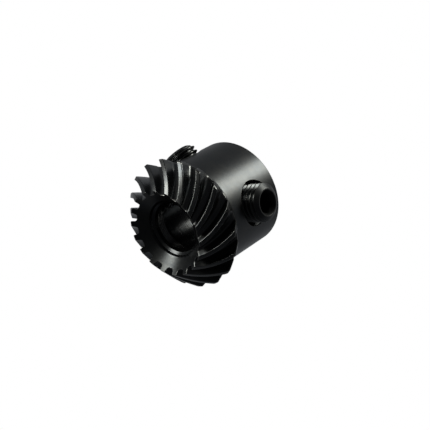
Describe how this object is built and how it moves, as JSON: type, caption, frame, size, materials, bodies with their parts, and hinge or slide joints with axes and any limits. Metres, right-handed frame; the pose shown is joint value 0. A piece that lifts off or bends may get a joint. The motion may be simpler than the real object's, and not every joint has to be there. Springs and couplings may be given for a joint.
{
  "type": "spiral bevel pinion with set screws",
  "caption": "Small steel spiral bevel pinion with a plain cylindrical hub, dished toe face, through bore and socket set screws that clamp it to a shaft.",
  "frame": {"origin": "centre of the hub's flat back face, on the gear axis", "axes": "+Z along the gear axis from the hub's back face to the small (toe) end of the teeth; +X outwards along the first set screw"},
  "size_m": [0.0211, 0.021, 0.0177],
  "materials": {
    "pinion_steel": "black oxide over turned and cut steel, lightly oiled satin",
    "screw_steel": "black oxide, rolled thread, satin"
  },
  "bodies": {
    "pinion": {"bevel_pinion": "pinion_steel"},
    "screw_1": {"set_screw_1": "screw_steel"},
    "screw_2": {"set_screw_2": "screw_steel"}
  },
  "joints": [
    {"name": "set_screw_1_travel", "type": "slide", "parent": "pinion", "child": "screw_1", "axis": [1, 0, 0], "range_m": [-0.0007, 0.0025]},
    {"name": "set_screw_2_travel", "type": "slide", "parent": "pinion", "child": "screw_2", "axis": [-0.5, 0.866, 0], "range_m": [-0.00015, 0.00305]}
  ]
}
